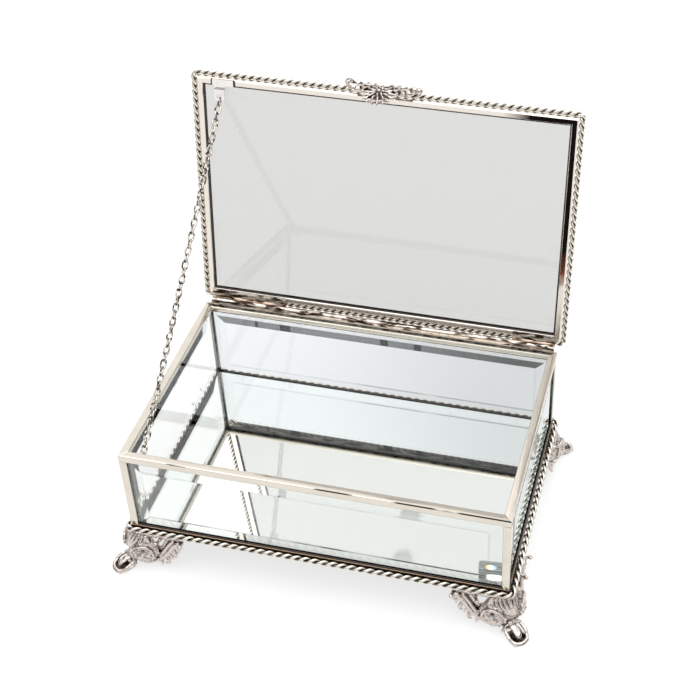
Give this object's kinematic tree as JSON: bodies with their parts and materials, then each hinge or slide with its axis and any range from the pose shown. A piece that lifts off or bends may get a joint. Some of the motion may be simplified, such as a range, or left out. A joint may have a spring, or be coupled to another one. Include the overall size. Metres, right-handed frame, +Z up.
{
  "type": "glass casket box",
  "caption": "Footed glass casket with bevelled panes in plated metal rails, rope edging, a mirror floor and a hinged lid held open by a chain.",
  "frame": {"origin": "middle of the object's box on the table, with the lid open at rest", "axes": "+X to the right seen from the front, +Y to the rear where the hinge is, +Z up"},
  "size_m": [0.2248, 0.1733, 0.2152],
  "materials": {
    "plated_sheet": "polished silver plate on folded brass sheet, slightly warm",
    "rope_wire": "polished silver plate on twisted wire, darker between the strands",
    "cast_plate": "silver plate on a zinc casting, toned in the hollows",
    "chain_wire": "bright plated round wire",
    "clear_glass": "clear polished glass with a ground bevel",
    "mirror_glass": "silvered glass"
  },
  "bodies": {
    "box": {"front_glass": "clear_glass", "rear_glass": "clear_glass", "left_glass": "clear_glass", "right_glass": "clear_glass", "floor_mirror": "mirror_glass", "front_top_rail": "plated_sheet", "rear_top_rail": "plated_sheet", "left_top_rail": "plated_sheet", "right_top_rail": "plated_sheet", "front_bottom_rail": "plated_sheet", "rear_bottom_rail": "plated_sheet", "left_bottom_rail": "plated_sheet", "right_bottom_rail": "plated_sheet", "front_left_post": "plated_sheet", "front_right_post": "plated_sheet", "rear_left_post": "plated_sheet", "rear_right_post": "plated_sheet", "front_base_rope": "rope_wire", "rear_base_rope": "rope_wire", "left_base_rope": "rope_wire", "right_base_rope": "rope_wire", "front_left_foot": "cast_plate", "front_right_foot": "cast_plate", "rear_left_foot": "cast_plate", "rear_right_foot": "cast_plate", "body_knuckle": "plated_sheet", "hinge_pin": "plated_sheet", "chain_lug": "plated_sheet", "stay_chain": "chain_wire"},
    "lid": {"lid_glass": "clear_glass", "front_lid_rail": "plated_sheet", "rear_lid_rail": "plated_sheet", "left_lid_rail": "plated_sheet", "right_lid_rail": "plated_sheet", "front_lid_rope": "rope_wire", "rear_lid_rope": "rope_wire", "left_lid_rope": "rope_wire", "right_lid_rope": "rope_wire", "left_lid_knuckle": "plated_sheet", "right_lid_knuckle": "plated_sheet", "chain_tab": "plated_sheet", "thumb_piece": "cast_plate"}
  },
  "joints": [
    {"name": "lid_hinge", "type": "hinge", "parent": "box", "child": "lid", "pos_m": [0, 0.05721, 0.0761], "axis": [1, 0, 0], "range_deg": [0, 98.6], "deforming": ["stay_chain"]}
  ]
}
